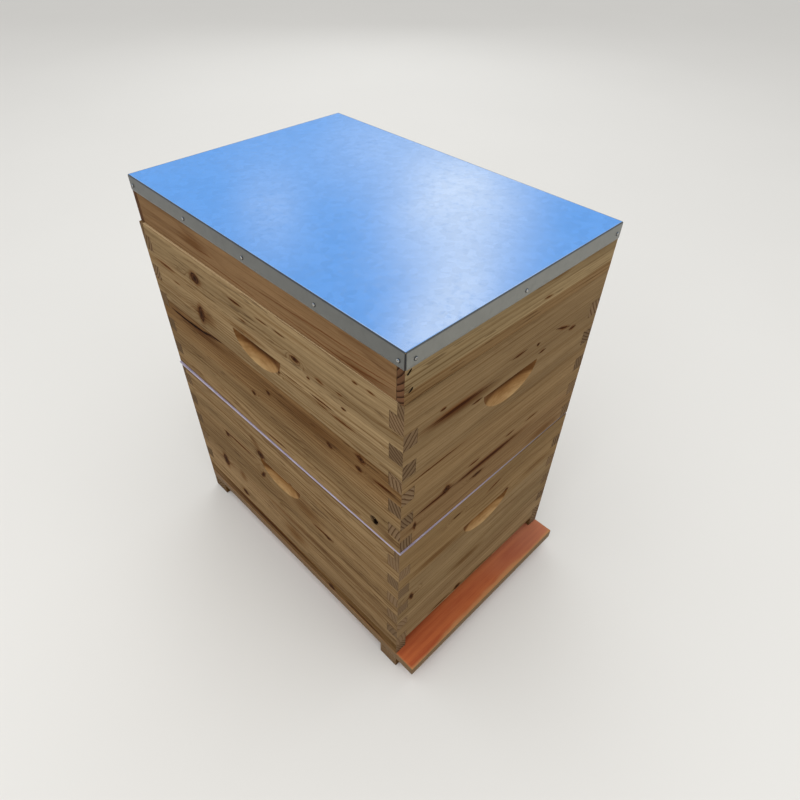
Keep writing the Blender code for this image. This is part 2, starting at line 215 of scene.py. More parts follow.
def wood(
    name, order="yzx", tone=(0.30, 0.19, 0.095), strips=((0, (1, 1, 1), 0.02, 0.09, 3.2),), knots=(),
    holes=(), streaks=(), stains=(), scoop=None, ends=(0.172, 0.112, 0.062), end_stretch=1.45,
    end_rings=(1.0, (0.26, 0.17, 0.11)), sawn_top=None, resin_share=0.5, figure=1.0, patchy=1.0,
    line_share=0.75, streak_tone=(0.036, 0.0095, 0.0018), late_share=0.72, seed=0.0,
):
    """Sawn wood. order names the axes along the grain, across it and through the board.

    strips are edge-glued staves from the lowest up: lower edge in mm, colour factor, the
    pith's height and depth in metres, ring spacing in mm, and how soft the edge is in mm.
    knots, holes, streaks and stains are ellipses on the face: along, across, two half
    sizes in mm and a turn in degrees. scoop is a hand hold's middle and the face it is cut
    into, sawn_top the height of a top edge painted lighter where it faces up: partly cleaner
    sawn wood, partly painted highlight. figure is how much the rings wander.
    """
    g = Graph(name)
    u, v, w = [g.split(g.point)[AXES[a]] for a in order]
    solid, flat = g.join(u, v, w), g.join(u, v, 0.0)
    offset = g.vector("ADD", solid, (seed * 0.37, seed * 0.61, seed * 0.23))

    # which stave a point is on
    above = []
    for s in strips[1:]:
        soft = s[5] * MM if len(s) > 5 else 0.0002
        above.append(g.step(v, s[0] * MM - soft, s[0] * MM + soft))

    def per_strip(index):
        value = g.math("ADD", strips[0][index], 0.0)
        for mask, a, b in zip(above, strips[:-1], strips[1:]):
            value = g.fma(mask, b[index] - a[index], value)
        return value

    stave = g.tint(tone, (*strips[0][1], 1.0))
    for mask, s in zip(above, strips[1:]):
        stave = g.mix(mask, stave, tuple(t * f for t, f in zip(tone, s[1])))
    pith_v, pith_w, spacing = per_strip(2), per_strip(3), per_strip(4)

    # growth rings round each stave's pith, pushed aside by the knots
    wander = g.stretched(offset, (3.0, 9.0, 9.0), 3.0, 0.55)
    ripple = g.stretched(offset, (14.0, 60.0, 60.0), 2.0, 0.5)
    radius = g.length(g.join(0.0, g.minus(v, pith_v), g.minus(w, pith_w)))
    radius = g.fma(wander, 0.034 * figure, radius)
    radius = g.fma(ripple, 0.0026 * figure, radius)
    shaken = g.shaken(flat, 150.0, (0.005, 0.0026, 0.0))
    knot = None
    if knots:
        knot = g.spots(shaken, knots)
        wide = g.spots(flat, [(a, b, max(ru, rv) * 3.6, max(ru, rv) * 1.9, t) for a, b, ru, rv, t in knots])
        radius = g.fma(g.under(wide, 0.0, 1.0), 0.011, radius)
    normal = g.facing()[AXES[order[0]]]
    end = g.step(g.math("ABSOLUTE", normal), 0.55, 0.75)
    spacing = g.times(spacing, g.fma(end, end_stretch - 1.0, 1.0))
    phase = g.math("FRACT", g.over(radius, g.times(spacing, MM)))
    ring = g.ramp(phase, ((0.0, 0.0), (0.55, 0.10), (0.84, 0.85), (0.93, 1.0), (1.0, 0.0)))
    fade = g.step(g.stretched(offset, (5.0, 42.0, 42.0), 2.0, 0.6), 0.36, 0.66)
    ring_face = g.times(ring, g.fma(fade, 0.8, 0.2))

    # broad tone, fibres and short dark resin lines
    broad = g.stretched(offset, (2.2, 26.0, 26.0), 3.0, 0.55)
    fibre = g.stretched(offset, (28.0, 1500.0, 1500.0), 3.0, 0.65)
    pores = g.stretched(offset, (60.0, 620.0, 620.0), 2.0, 0.5)
    lines = g.stretched(g.vector("ADD", offset, (0.7, 2.3, 5.1)), (3.2, 430.0, 430.0), 3.0, 0.6)
    resin = g.stretched(g.vector("ADD", offset, (3.1, 1.7, 0.4)), (24.0, 260.0, 260.0), 1.0, 0.5)
    gathered = g.stretched(g.vector("ADD", offset, (1.3, 4.7, 2.4)), (6.0, 16.0, 16.0), 1.0, 0.5)
    resin = g.step(g.fma(gathered, 0.30, resin), 0.81, 0.85)
    dim = tuple(1.0 - patchy * c for c in (0.20, 0.23, 0.28))
    bright = tuple(1.0 + patchy * c for c in (0.17, 0.17, 0.15))
    color = g.mix(g.step(broad, 0.3, 0.7), g.tint(stave, dim), g.tint(stave, bright))
    color = g.wash(g.times(ring_face, late_share), color, LATE_WOOD)
    color = g.wash(g.part(0.20, fibre, 0.40, 0.75), color, (1.75, 1.75, 1.7))
    color = g.wash(g.part(0.30, fibre, 0.50, 0.28), color, (0.55, 0.48, 0.40))
    color = g.mix(g.part(0.25, pores, 0.55, 0.75), color, (0.10, 0.05, 0.02))
    color = g.wash(g.times(g.step(lines, 0.52, 0.62), line_share), color, (0.60, 0.48, 0.36))
    color = g.wash(g.times(g.step(lines, 0.47, 0.38), 0.8 * line_share), color, (1.22, 1.24, 1.26))
    color = g.mix(g.times(resin, resin_share), color, (0.045, 0.018, 0.006))

    if stains:
        stain = g.under(g.spots(shaken, stains), 0.1, 1.0)
        stain = g.times(stain, g.fma(wander, 1.3, 0.30), clamp=True)
        color = g.wash(g.times(stain, 0.85), color, (0.55, 0.40, 0.26))
    if streaks:
        bent = g.vector("ADD", flat, g.join(0.0, g.fma(wander, 0.005, -0.0025), 0.0))
        bent = g.shaken(bent, 90.0, (0.004, 0.0016, 0.0))
        streak = g.spots(bent, streaks)
        wide = g.spots(bent, [(a, b, ru * 1.15, rv * 3.2, t) for a, b, ru, rv, t in streaks])
        color = g.wash(g.times(g.under(wide, 0.10, 1.0), 0.90), color, (0.60, 0.30, 0.11))
        ragged = g.fma(g.minus(lines, 0.5), 2.6, streak)
        core = g.under(g.fma(fade, 0.25, ragged), 0.60, 1.20)
        color = g.mix(core, color, streak_tone)
    if knots:
        tails = g.spots(
            shaken, [(a, b, max(ru, rv) * 3.0, min(ru, rv) * 0.8, t * 0.2) for a, b, ru, rv, t in knots])
        color = g.wash(g.times(g.under(tails, 0.1, 1.0), 0.70), color, (0.45, 0.28, 0.15))
        color = g.wash(g.times(g.under(knot, 0.7, 1.8), 0.80), color, (0.52, 0.28, 0.11))
        heart = (
            (0.0, (0.012, 0.0045, 0.0015)), (0.16, (0.030, 0.011, 0.0035)), (0.30, (0.070, 0.026, 0.008)),
            (0.42, (0.012, 0.004, 0.0015)), (0.5, (0.035, 0.011, 0.003)))
        body = g.under(g.fma(g.minus(fibre, 0.5), 0.6, knot), 0.78, 1.00)
        color = g.mix(body, color, g.ramp(g.times(knot, 0.5), heart))
    if holes:
        # painted near black: painted shade inside holes, cracks and slits
        hole = g.under(g.spots(shaken, holes), 0.8, 1.05)
        color = g.mix(hole, color, (0.008, 0.004, 0.002))

    # fresher wood where the hand hold was cut, darker towards the lip: partly saw burn, partly painted shadow under
    # the lip
    if scoop:
        cu, cv, face = scoop
        depth = g.times(g.minus(w, face), -1.0 if face > 0 else 1.0)
        deep = g.times(g.step(depth, 0.0001, 0.0005), g.math("LESS_THAN", depth, 0.0175))
        near = g.spots(flat, [(cu / MM, cv / MM, 62.0, 30.0, 0.0)])
        cut = g.times(deep, g.math("LESS_THAN", near, 1.0))
        fresh = g.mix(g.times(ring, 0.35), (0.40, 0.262, 0.122), (0.27, 0.165, 0.070))
        fresh = g.mix(g.part(0.3, fibre, 0.35, 0.8), fresh, (0.50, 0.35, 0.18))
        # the deeper the cut, the darker: saw burn together with painted shade under the overhanging lip
        burnt_and_shaded = (
            (0.0, 1.0), (0.22, (0.95, 0.92, 0.88)), (0.36, (0.78, 0.68, 0.58)), (0.50, (0.38, 0.27, 0.19)),
            (0.60, (0.16, 0.10, 0.065)), (1.0, (0.10, 0.06, 0.04)))
        scorch_and_shade = g.ramp(g.over(depth, 0.0155), burnt_and_shaded)
        # the upper part of the hold painted darker still, most near the lip: painted shadow of the lip
        below = g.fma(g.minus(wander, 0.5), 0.010, g.minus(v, cv))
        scorch_and_shade = g.wash(g.step(below, -0.022, 0.002), scorch_and_shade, (0.72, 0.62, 0.53))
        scorch_and_shade = g.wash(g.step(below, -0.0015, 0.0040), scorch_and_shade, (0.42, 0.32, 0.24))
        worn = g.stretched(offset, (45.0, 90.0, 90.0), 3.0, 0.6)
        scorch_and_shade = g.wash(g.part(0.55, worn, 0.42, 0.66), scorch_and_shade, (0.68, 0.58, 0.48))
        color = g.mix(g.times(cut, 0.94), color, g.tint(fresh, scorch_and_shade))

    # sawn upper edges painted lighter where they face up: partly cleaner sawn wood, partly painted highlight
    if sawn_top:
        lit_top_face = g.step(g.facing()[2], 0.5, 0.8)
        lit_top_face = g.times(lit_top_face, g.step(v, sawn_top - 0.0020, sawn_top - 0.0010))
        color = g.mix(g.times(lit_top_face, 0.8), color, g.mix(fibre, (0.46, 0.32, 0.17), (0.62, 0.47, 0.29)))

    # end grain: greyer, with the rings showing plainly
    speck = g.stretched(offset, (260.0, 900.0, 900.0), 2.0, 0.6)
    block = g.math("FLOOR", g.over(v, FINGER))
    tint = g.add("ShaderNodeTexWhiteNoise", noise_dimensions="1D")
    g.tune(tint, W=g.math("ADD", block, seed * 7.0))
    end_tone = g.mix(tint.outputs["Value"], tuple(0.80 * c for c in ends), tuple(1.25 * c for c in ends))
    end_tone = g.wash(g.times(ring, end_rings[0]), end_tone, end_rings[1])
    end_tone = g.mix(g.part(0.35, speck, 0.4, 0.7), end_tone, (0.10, 0.06, 0.03))
    color = g.mix(end, color, end_tone)

    g.set("Base Color", color)
    g.set("Roughness", g.fma(end, 0.14, g.fma(fibre, 0.22, 0.52), clamp=True))
    g.set("Specular IOR Level", 0.015)
    height = g.fma(fibre, 0.6, g.times(ring_face, 0.5))
    height = g.minus(height, g.part(0.4, pores, 0.5, 0.75))
    height = g.fma(g.times(speck, end), 0.8, height)
    if knots:
        height = g.fma(g.under(knot, 0.8, 1.1), -0.5, height)
    g.set("Normal", g.bump(height, 0.35, 0.0004))
    return g.material


# ---- geometry
def circle(count):
    turns = [2 * math.pi * k / count for k in range(count)]
    return [(math.cos(t), math.sin(t)) for t in turns]


def link(obj):
    bpy.context.scene.collection.objects.link(obj)
    return obj


def mesh_object(name, bm, material, smooth=math.radians(30.0)):
    mesh = bpy.data.meshes.new(name)
    bm.to_mesh(mesh)
    bm.free()
    mesh.shade_smooth()
    mesh.set_sharp_from_angle(angle=smooth)
    mesh.materials.append(material)
    return link(bpy.data.objects.new(name, mesh))


def bevel(obj, width, segments=2):
    modifier = obj.modifiers.new("eased", "BEVEL")
    modifier.width, modifier.segments = width, segments
    modifier.limit_method = "ANGLE"
    modifier.angle_limit = math.radians(30.0)
    modifier.harden_normals = True


def merged(node):
    """A node's mesh as closed, clean faces."""
    bm = bmesh.new()
    bm.from_mesh(NODES[node].data)
    bmesh.ops.remove_doubles(bm, verts=bm.verts, dist=1e-6)
    bmesh.ops.dissolve_limit(bm, angle_limit=math.radians(0.4), verts=bm.verts, edges=bm.edges)
    return bm


def eased(node, suffix, material, width, segments=2):
    """The node's own shape with its edges softened."""
    piece = mesh_object(node + suffix, merged(node), material)
    if width:
        bevel(piece, width, segments)
    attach(piece, BODY_OF[node])
    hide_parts(node)
    return piece


def carve(piece, cutter):
    """Cut the cutter's shape out of the piece, and leave a plain mesh."""
    mesh = bpy.data.meshes.new("cutter")
    cutter.to_mesh(mesh)
    cutter.free()
    mesh.materials.append(piece.data.materials[0])
    mesh.shade_smooth()
    tool = link(bpy.data.objects.new("cutter", mesh))
    cut = piece.modifiers.new("cut", "BOOLEAN")
    cut.object = tool
    cut.solver = "EXACT"
    graph = bpy.context.evaluated_depsgraph_get()
    result = bpy.data.meshes.new_from_object(piece.evaluated_get(graph))
    piece.modifiers.clear()
    piece.data = result
    custom = result.attributes.get("custom_normal")
    if custom:
        result.attributes.remove(custom)
    result.shade_smooth()
    result.set_sharp_from_angle(angle=math.radians(16.0))
    bpy.data.objects.remove(tool)
    bpy.data.meshes.remove(mesh)


def pit(bm, face_x, y, z, ry, rz, depth, seed):
    """A ragged cup opening towards -x, narrower at its bottom."""
    rows = []
    for share, into in ((1.12, -0.001), (1.0, 0.0), (0.86, 0.35), (0.62, 0.75), (0.30, 1.0)):
        x = face_x + (into * depth if into > 0 else into)
        row = []
        for c, s in circle(20):
            ragged = share * (1.0 + 0.16 * mnoise.noise(Vector((2.0 * c, 2.0 * s, seed + into))))
            flat = 0.62 if s > 0.55 else 1.0
            row.append(bm.verts.new((x, y + ry * ragged * c, z + rz * ragged * flat * s)))
        rows.append(row)
    skin(bm, rows)


def split(bm, face_x, points, seed):
    """A crack opening towards -x along (y, z, half width, depth) points."""
    rows = []
    for n, (y, z, half, depth) in enumerate(points):
        middle = z + 0.0005 * mnoise.noise(Vector((n * 0.9, seed, 0.0)))
        tip = max(half, 0.00012)
        profile = ((-0.001, 1.25), (depth / 2, 0.6), (depth, 0.0), (depth / 2, -0.5), (-0.001, -1.1))
        rows.append([bm.verts.new((face_x + into, y, middle + tip * up)) for into, up in profile])
    skin(bm, rows)


def half_moon(face, inward, centre, lip, is_side):
    """Cutter for a hand hold: half round below a straight lip, deepest under the lip."""
    bm = bmesh.new()
    reach = 0.006  # how far the cutter stands out of the board

    def at(u, v, depth):
        through = face + depth * inward
        return bm.verts.new((through, centre + u, v) if is_side else (centre + u, through, v))

    inside, outside = [], []
    foot, over = lip - HOLD_HEIGHT, HOLD_HEIGHT + 0.0003
    for i in range(25):
        share = -0.03 + 1.03 * (i / 24) ** 1.6
        rows = [], []
        for k in range(-20, 21):
            q = 1.12 * k / 20
            swell = 1.0 - q * q
            height = share * over / (1.0 + HOLD_SLOPE ** 2 * swell)
            up = min(1.0, max(0.0003, height) / HOLD_HEIGHT)
            u = q * HOLD_HALF * math.sqrt(1.0 - (1.0 - up) ** 2)
            depth = HOLD_SLOPE * height * (swell if share > 0 else 1.0)
            rows[0].append(at(u, foot + height, depth))
            rows[1].append(at(u, foot + share * (over + reach * HOLD_SLOPE), -reach))
        inside.append(rows[0])
        outside.append(rows[1])
    last = len(inside[0]) - 1
    pairs = [*zip(inside[:-1], inside[1:]), *zip(outside[:-1], outside[1:])]
    for a, b in (*pairs, (inside[0], outside[0]), (inside[-1], outside[-1])):
        for k in range(last):
            bm.faces.new((a[k], a[k + 1], b[k + 1], b[k]))
    for k in (0, last):
        for a, b, c, d in zip(inside[:-1], inside[1:], outside[1:], outside[:-1]):
            bm.faces.new((a[k], b[k], c[k], d[k]))
    bmesh.ops.recalc_face_normals(bm, faces=bm.faces)
    return bm


def skin(bm, rows):
    """Close a stack of rings into a solid."""
    size = len(rows[0])
    for a, b in zip(rows[:-1], rows[1:]):
        for k in range(size):
            bm.faces.new((a[k], a[(k + 1) % size], b[(k + 1) % size], b[k]))
    bm.faces.new(list(reversed(rows[0])))
    bm.faces.new(rows[-1])
    bmesh.ops.recalc_face_normals(bm, faces=bm.faces)


def refined(a, b, count, bow, half, depth):
    """Points of a crack from a to b, widest in its middle."""
    points = []
    for i in range(count + 1):
        t = i / count
        swell = math.sin(math.pi * t) ** 0.7 * (0.75 + 0.35 * mnoise.noise(Vector((t * 5.0, a[0] * 10, 1.0))))
        y = a[0] + (b[0] - a[0]) * t
        z = a[1] + (b[1] - a[1]) * t + bow * math.sin(math.pi * t)
        points.append((y, z, half * swell, depth * (0.25 + 0.75 * swell)))
    return points


# ---- boxes
LEFT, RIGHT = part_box("honey_side_left")[0].x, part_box("honey_side_right")[1].x
FRONT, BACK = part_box("honey_end_front")[0].y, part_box("honey_end_back")[1].y
CENTRE = {"x": HIVE.x / MM, "y": HIVE.y / MM}  # the boxes' centre line
HOLD_DROP = 0.069  # from a box's top to the lips of its hand holds


def hold_height(prefix):
    """The middle height of a box's hand holds."""
    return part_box(prefix + "_side_left")[1].z - HOLD_DROP - HOLD_HEIGHT / 2


def centred(look, shift):
    """A look whose spots, given from the boxes' centre line, are moved by shift mm."""
    spots = ("knots", "holes", "streaks", "stains")
    return {k: [(a + shift, *rest) for a, *rest in v] if k in spots else v for k, v in look.items()}


BOX_TONE = (0.208, 0.137, 0.070)

box_boards = {
    "honey_side_left": dict(
        strips=(
            (0, (1.04, 1.05, 1.02), 0.300, -0.30, 3.4), (392, (0.86, 0.75, 0.62), 0.300, -0.30, 3.4, 30.0),
            (443, (1.15, 1.22, 1.26), 0.62, -0.29, 4.6)),
        knots=[
            (124.7, 527, 10, 8.5, 0), (130.5, 469, 7, 14, 10), (-82, 515, 6.5, 3.8, 0), (-188.7, 434, 6.0, 5.0, 40),
            (-185, 414, 4.5, 3.5, 0), (-133, 413, 4.5, 3.0, 30), (-10, 417, 4.0, 3.5, 0), (28, 392, 4.0, 3.5, 0),
            (-44, 474, 2.0, 4.0, 20)],
        holes=[
            (-210, 340, 7.5, 7.5, 0), (203, 431.0, 26, 1.5, 1.0), (160, 432.6, 36, 1.9, -4.0),
            (112, 440.0, 26, 1.2, -6.0)],
        streaks=[
            (196, 431.5, 40, 1.3, 1.0), (150, 433.5, 40, 1.7, -5.0), (108, 440.6, 24, 1.2, -5.0),
            (32, 536, 18, 1.4, 0), (206, 511, 30, 1.6, 2), (-124, 509, 10, 1.3, 5), (-225, 417, 22, 1.4, -5),
            (-160, 471, 26, 1.1, 0), (-125, 478, 20, 1.1, 0), (-8, 327, 28, 1.2, 0), (-104, 501, 3.5, 1.3, 0),
            (-164, 494, 4, 1.2, 0), (-158, 512, 7, 0.8, 0), (-208, 547, 9, 0.9, 0), (-184, 545, 5, 1.0, 0),
            (-124, 472, 14, 0.6, 0), (-70, 477, 22, 0.5, 0), (20, 515, 10, 0.8, 0), (184, 493, 12, 0.8, 0),
            (-22, 536, 14, 0.8, 0), (-56, 537, 12, 0.8, 0)],
        stains=[(-95, 425, 110, 16, 0), (120, 470, 40, 24, 0), (20, 497, 60, 8, 0), (150, 428, 90, 12, 0)],
        seed=1.0,
    ),
    "brood_side_left": dict(
        strips=(
            (0, (1.06, 1.06, 1.05), 0.03, -0.32, 4.2), (151, (0.99, 0.98, 0.94), 0.16, -0.14, 3.0),
            (236, (1.01, 1.02, 1.00), 0.33, -0.31, 3.8)),
        knots=[
            (46, 252, 7.5, 8, 0), (146, 223, 4.5, 5.5, 30), (50, 202, 3.5, 9, 35), (-109, 195, 6, 3.5, 0),
            (178, 133, 8, 15, 0), (131, 85, 7, 6.5, 0), (-29, 238, 3.5, 7.5, -25), (14, 231, 3, 4, 0)],
        streaks=[(110, 227, 50, 1.6, 0), (-95, 196, 26, 1.6, -3)],
        stains=[
            (125, 134, 16, 20, 0), (-17, 108, 46, 26, 0), (-60, 143, 210, 9, 0), (55, 268, 26, 14, 50),
            (-60, 215, 60, 26, 0)],
        end_rings=(0.6, (0.35, 0.26, 0.18)), seed=2.0,
    ),
    "honey_side_right": dict(
        strips=(
            (0, (0.95, 0.94, 0.88), 0.29, 0.31, 3.6), (402, (1.16, 1.15, 1.10), 0.40, 0.13, 3.0),
            (486, (0.92, 0.88, 0.80), 0.60, 0.30, 4.2)),
        knots=[(-140, 533, 8, 7, 0), (92, 372, 9, 8, 20), (-60, 350, 5, 4, 0), (170, 455, 6, 9, 15)],
        streaks=[(-30, 520, 60, 2.2, 2), (140, 345, 44, 1.8, -2), (30, 402, 70, 1.3, 0)],
        stains=[(100, 372, 50, 22, 0), (-150, 500, 80, 16, 0)],
        seed=3.0,
    ),
    "brood_side_right": dict(
        strips=(
            (0, (0.90, 0.87, 0.80), 0.05, 0.14, 3.0), (128, (1.08, 1.08, 1.03), 0.18, 0.31, 4.0),
            (222, (0.97, 0.95, 0.90), 0.32, 0.30, 3.4)),
        knots=[(-180, 262, 8, 7, 0), (60, 180, 10, 9, 0), (-40, 110, 6, 5, 25), (190, 145, 5, 8, 0)],
        streaks=[(-150, 225, 50, 1.8, -1), (70, 96, 60, 2.0, 2)],
        stains=[(60, 180, 55, 24, 0), (-130, 110, 80, 18, 0)],
        seed=4.0,
    ),
    "honey_end_front": dict(
        strips=(
            (0, (0.92, 0.86, 0.80), 0.30, -0.40, 2.6), (372, (0.97, 0.95, 0.89), 0.47, -0.38, 2.8, 4.0),
            (446, (0.96, 0.97, 0.95), 0.60, -0.31, 2.2)),
        knots=[(-100, 372, 5.5, 6.5, 0), (-154, 350, 2.6, 6.5, 0), (-39, 351, 10, 2.8, 0), (45, 514, 2.4, 2.0, 0)],
        streaks=[
            (-98, 505.5, 62, 3.2, -0.6), (-25, 367, 66, 2.6, 0), (-118, 368, 36, 2.0, 0), (-120, 518, 6, 1.2, 0),
            (8, 518, 14, 1.1, 0), (98, 511, 18, 1.4, -18), (120, 500, 9, 1.8, -4), (-62, 492, 8, 1.1, 0),
            (-122, 437.5, 58, 0.9, 0), (-50, 381, 14, 1.2, 0), (22, 381, 12, 1.1, 0), (70, 380, 16, 1.1, 0),
            (58, 497, 7, 1.1, 0)],
        stains=[(-80, 500, 85, 9, 0), (0, 366, 110, 10, 0), (110, 326, 60, 14, 0)],
        figure=0.22, late_share=0.42, line_share=0.45, patchy=0.6, resin_share=0.12, end_stretch=2.1, seed=5.0,
    ),
    "brood_end_front": dict(
        strips=(
            (0, (1.07, 1.10, 1.12), 0.04, -0.40, 3.8), (140, (0.85, 0.86, 0.83), 0.18, -0.33, 3.6),
            (182, (1.01, 1.04, 1.04), 0.18, -0.33, 3.6, 9.0), (226, (0.96, 0.94, 0.86), 0.30, -0.38, 3.0)),
        knots=[(-43, 77, 6.5, 5.5, 0), (46, 243, 4.2, 4.5, 0), (-152, 183, 4, 8, 10), (-70, 289, 7, 1.8, 0)],
        streaks=[(-82, 76, 34, 1.6, 0), (10, 285, 20, 1.3, 10)],
        stains=[(-32, 148, 56, 14, 0), (-105, 236, 70, 11, 0), (120, 243, 60, 10, 0), (0, 74, 90, 6, 0)],
        figure=0.35, late_share=0.5, line_share=0.55, patchy=0.8, resin_share=0.2,
        end_stretch=1.8, end_rings=(0.6, (0.35, 0.26, 0.18)), seed=6.0,
    ),
    "honey_end_back": dict(
        strips=(
            (0, (1.05, 1.04, 0.99), 0.31, 0.42, 3.8), (391, (0.90, 0.86, 0.80), 0.44, 0.36, 3.0),
            (468, (1.08, 1.07, 1.02), 0.60, 0.41, 4.2)),
        knots=[(88, 520, 8, 7, 0), (-110, 430, 9, 8, 0), (30, 352, 6, 5, 0)],
        streaks=[(60, 470, 50, 1.6, 1), (-60, 345, 60, 2.2, -1)],
        stains=[(-110, 430, 52, 22, 0)],
        seed=7.0,
    ),
    "brood_end_back": dict(
        strips=((0, (0.94, 0.92, 0.86), 0.05, 0.38, 3.2), (160, (1.10, 1.10, 1.05), 0.20, 0.41, 4.4)),
        knots=[(-70, 265, 8, 9, 0), (112, 140, 9, 7, 0), (-20, 100, 5, 4, 0)],
        streaks=[(40, 232, 60, 1.8, -1), (-90, 118, 50, 1.8, 1)],
        stains=[(112, 140, 46, 20, 0), (-80, 240, 60, 16, 0)],
        seed=8.0,
    ),
}

FACES = {"side_left": LEFT, "side_right": RIGHT, "end_front": FRONT, "end_back": BACK}
for node, look in box_boards.items():
    prefix, side = node.split("_", 1)
    is_side = side.startswith("side")
    centre = HIVE.y if is_side else HIVE.x
    material = wood(
        node + "_pine", order="yzx" if is_side else "xzy", tone=BOX_TONE,
        sawn_top=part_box(node)[1].z if is_side else None, scoop=(centre, hold_height(prefix), FACES[side]),
        **centred(look, centre / MM))
    board = eased(node, "_board", material, 0.0003)
    inward = 1.0 if side in ("side_left", "end_front") else -1.0
    carve(board, half_moon(FACES[side], inward, centre, hold_height(prefix) + HOLD_HEIGHT / 2, is_side))
    if node == "honey_side_left":
        cuts = bmesh.new()
        pit(cuts, LEFT, HIVE.y - 0.210, 0.3405, 0.0072, 0.0072, 0.009, 3.0)
        crack = refined((HIVE.y + 0.2235, 0.4315), (HIVE.y + 0.090, 0.4425), 18, -0.0036, 0.0012, 0.004)
        split(cuts, LEFT, crack, 1.0)
        crack = refined((HIVE.y - 0.2160, 0.4165), (HIVE.y - 0.2500, 0.4195), 6, -0.0006, 0.0005, 0.002)
        split(cuts, LEFT, crack, 2.0)
        carve(board, cuts)


# ---- lid rim and panel
RIM_ENDS = dict(ends=(0.125, 0.060, 0.031), end_rings=(1.0, (0.07, 0.03, 0.02)))
rim_looks = {
    "lid_rim_left": dict(
        order="yzx", tone=(0.187, 0.110, 0.053), seed=11.0, resin_share=0.1,
        strips=((0, (1, 1, 1), 0.60, -0.215, 5.0),),
        figure=0.7, patchy=0.7, late_share=0.40, line_share=0.45,
        streaks=[(-150, 563.5, 100, 0.45, 1.5), (-110, 580, 130, 0.35, -2.5), (-190, 572, 60, 0.4, -4),
            (40, 565, 70, 0.35, 2), (90, 577, 30, 0.4, 0), (-200, 566, 40, 0.5, -6)],
        streak_tone=(0.100, 0.036, 0.012),
        stains=[(-190, 566, 60, 5, 0), (110, 582, 50, 12, 0)],
    ),
    "lid_rim_right": dict(
        order="yzx", tone=(0.200, 0.112, 0.049), seed=12.0, resin_share=0.2,
        strips=((0, (1, 1, 1), 0.57, 0.215, 4.4),),
        knots=[(60, 590, 5, 4, 0)],
        streaks=[(-60, 572, 60, 1.2, 1.0)],
        stains=[(60, 585, 60, 10, 0)],
    ),
    "lid_rim_front": dict(
        order="xzy", tone=(0.205, 0.132, 0.062), seed=13.0, **RIM_ENDS,
        strips=(
            (0, (0.92, 0.89, 0.88), 0.625, -0.187, 4.2), (574, (1.22, 1.38, 1.56), 0.625, -0.187, 4.2)),
        figure=0.3, line_share=0.5,
        streaks=[(44, 579, 10, 1.0, -8)], holes=[(-172, 598, 4.2, 1.5, 50), (-169, 575, 4.2, 1.4, 38)],
        stains=[(60, 600, 40, 4, 0)],
    ),
    "lid_rim_back": dict(
        order="xzy", tone=(0.205, 0.128, 0.060), seed=14.0, **RIM_ENDS,
        strips=((0, (1, 1, 1), 0.55, 0.36, 3.6),),
        knots=[(-66, 578, 7, 6, 0)],
        stains=[(-66, 578, 45, 12, 0)],
    ),
}
for node, look in rim_looks.items():
    look = centred(look, CENTRE[look["order"][0]])
    eased(node, "_board", wood(node + "_cedar", **look), 0.0005)
eased(
    "lid_top_panel", "_board",
    wood("lid_panel_pine", order="yxz", tone=(0.36, 0.25, 0.135), seed=15.0,
         strips=(
             (-200, (1, 1, 1), -0.12, 0.50, 3.6), (-62, (0.9, 0.87, 0.8), 0.02, 0.52, 3.0),
             (58, (1.06, 1.05, 1.0), 0.13, 0.47, 4.0)),
         knots=[(-90, -100, 8, 7, 0), (140, 20, 7, 6, 0), (30, 110, 6, 6, 0)]),
    0.0006,
)


# ---- floor
def ply():
    """Plywood with an orange-red stained face and bare plies at its edges."""
    g = Graph("floor_faced_ply", 0.5)
    x, y, z = g.split(g.point)
    low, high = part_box("floor_board")
    grain = g.stretched(g.point, (7.0, 110.0, 30.0), 3.0, 0.6)
    fine = g.stretched(g.point, (30.0, 900.0, 200.0), 2.0, 0.6)
    patch = g.stretched(g.point, (9.0, 14.0, 9.0), 3.0, 0.55)
    face = g.mix(g.step(grain, 0.35, 0.68), (0.295, 0.060, 0.019), (0.380, 0.098, 0.031))
    face = g.mix(g.part(0.45, patch, 0.45, 0.68), face, (0.400, 0.118, 0.042))
    face = g.mix(g.part(0.3, fine, 0.5, 0.8), face, (0.16, 0.032, 0.012))
    # dust and wear lighten the stained face towards its right end
    toward_right_end = g.step(g.fma(patch, 0.06, x), 0.02, 0.20)
    face = g.mix(g.times(toward_right_end, 0.40), face, (0.44, 0.21, 0.135))
    worn = g.fma(g.minus(patch, 0.5), 0.018, g.minus(low.y + 0.0075, y))
    face = g.mix(g.part(0.7, worn, 0.0, 0.006), face, (0.43, 0.215, 0.085))
    ends = g.minus(g.math("ABSOLUTE", x), high.x - 0.005)
    ends = g.fma(g.minus(patch, 0.5), 0.012, ends)
    face = g.mix(g.part(0.6, ends, 0.0, 0.005), face, (0.43, 0.20, 0.08))
    plies = g.math("FRACT", g.over(g.minus(z, low.z), (high.z - low.z) / 3.5))
    layer = g.ramp(plies, ((0.0, 0.0), (0.47, 0.08), (0.5, 1.0), (0.97, 0.9), (1.0, 0.0)))
    fuzz = g.stretched(g.point, (160.0, 160.0, 900.0), 2.0, 0.6)
    edge = g.mix(layer, (0.215, 0.138, 0.066), (0.120, 0.068, 0.030))
    edge = g.mix(g.part(0.4, fuzz, 0.4, 0.7), edge, (0.12, 0.065, 0.03))
    up = g.facing()[2]
    flat = g.step(g.math("ABSOLUTE", up), 0.6, 0.8)
    g.set("Base Color", g.mix(flat, edge, face))
    g.set("Roughness", g.fma(grain, 0.3, 0.5))
    g.set("Specular IOR Level", 0.12)
    height = g.fma(fine, 0.5, g.times(fuzz, g.inverse(flat)))
    g.set("Normal", g.bump(height, 0.3, 0.0004))
    return g.material


